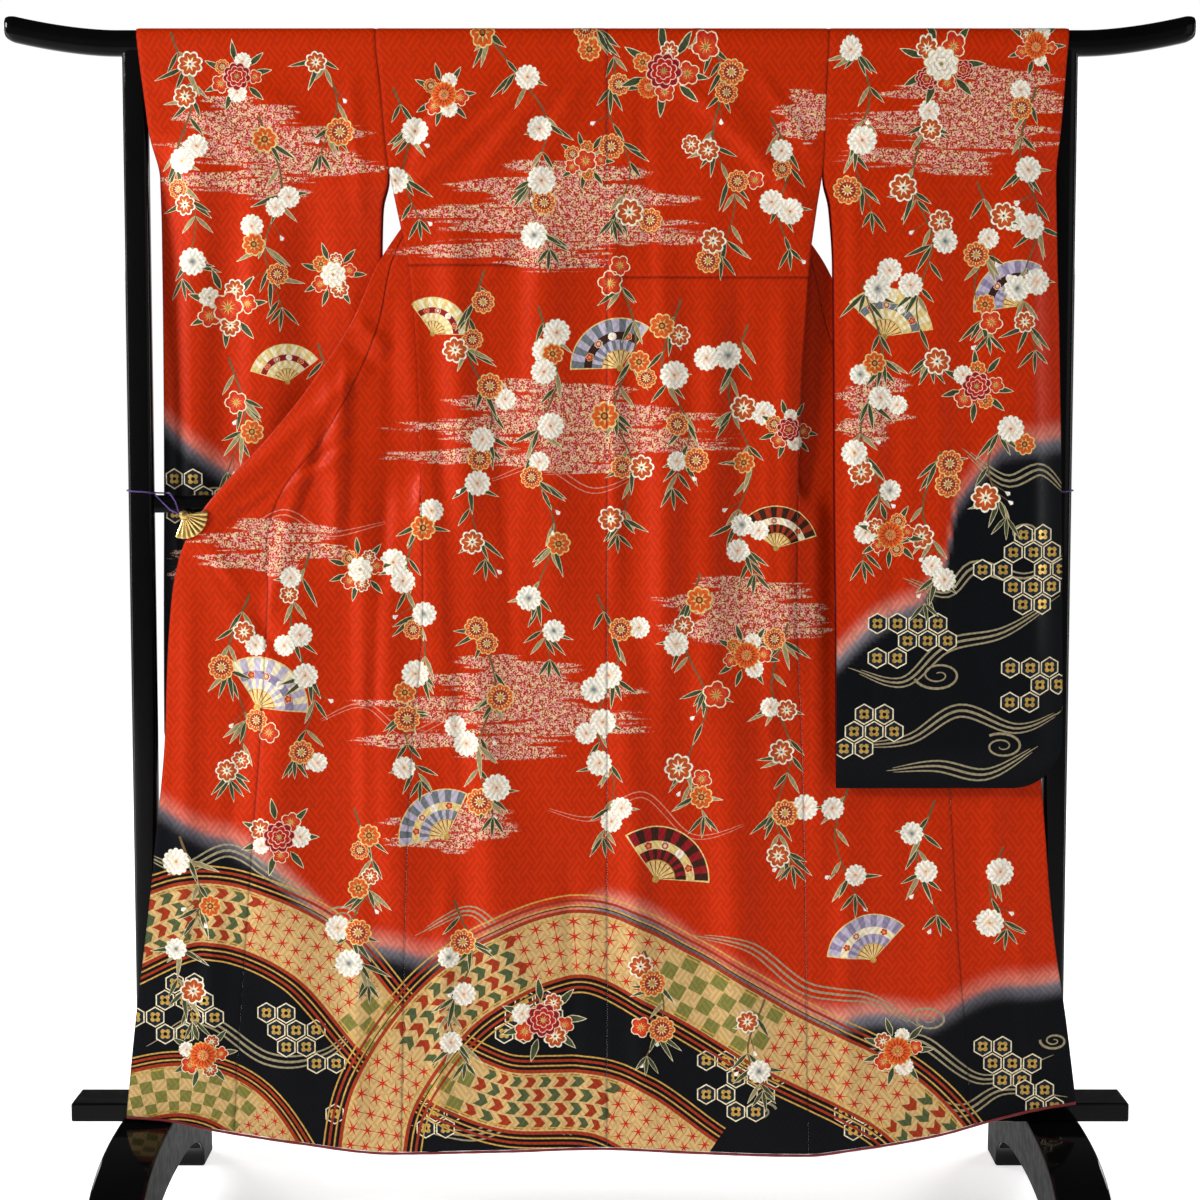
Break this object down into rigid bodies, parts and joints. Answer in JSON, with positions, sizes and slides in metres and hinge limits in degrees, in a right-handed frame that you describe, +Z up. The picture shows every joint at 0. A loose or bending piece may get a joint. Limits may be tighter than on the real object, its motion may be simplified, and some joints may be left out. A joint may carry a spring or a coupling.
{
  "type": "furisode kimono on a kimono stand",
  "caption": "Long-sleeved silk kimono opened out flat, back forwards, over the rail of a black lacquered stand with arched feet.",
  "frame": {"origin": "on the floor, midway between the two posts, at the bottom centre of the bounding box", "axes": "+X along the top rail to the viewer's right, -Y towards the viewer who faces the garment's back, +Z up"},
  "size_m": [1.644, 0.6292, 1.6985],
  "materials": {
    "silk": "satin figured silk, dyed and painted",
    "lining": "smooth dull silk",
    "lacquer": "high gloss black lacquer",
    "gilt": "polished gilt",
    "cord": "twisted cord"
  },
  "bodies": {
    "root": {"back_left": "silk", "back_right": "silk", "front_left": "silk", "front_right": "silk", "overlap_left": "silk", "overlap_right": "silk", "collar_left": "silk", "collar_neck": "silk", "collar_right": "silk", "sleeve_left_back": "silk", "sleeve_left_front": "silk", "sleeve_right_back": "silk", "sleeve_right_front": "silk", "hem_roll": "lining", "rail_top": "lacquer", "rail_middle": "lacquer", "board": "lacquer", "post_left": "lacquer", "post_right": "lacquer", "foot_left": "lacquer", "foot_right": "lacquer", "clip_left_fan": "gilt", "clip_left_jaw": "gilt", "clip_right_fan": "gilt", "clip_right_jaw": "gilt", "cord_left": "cord", "cord_right": "cord"}
  },
  "joints": []
}
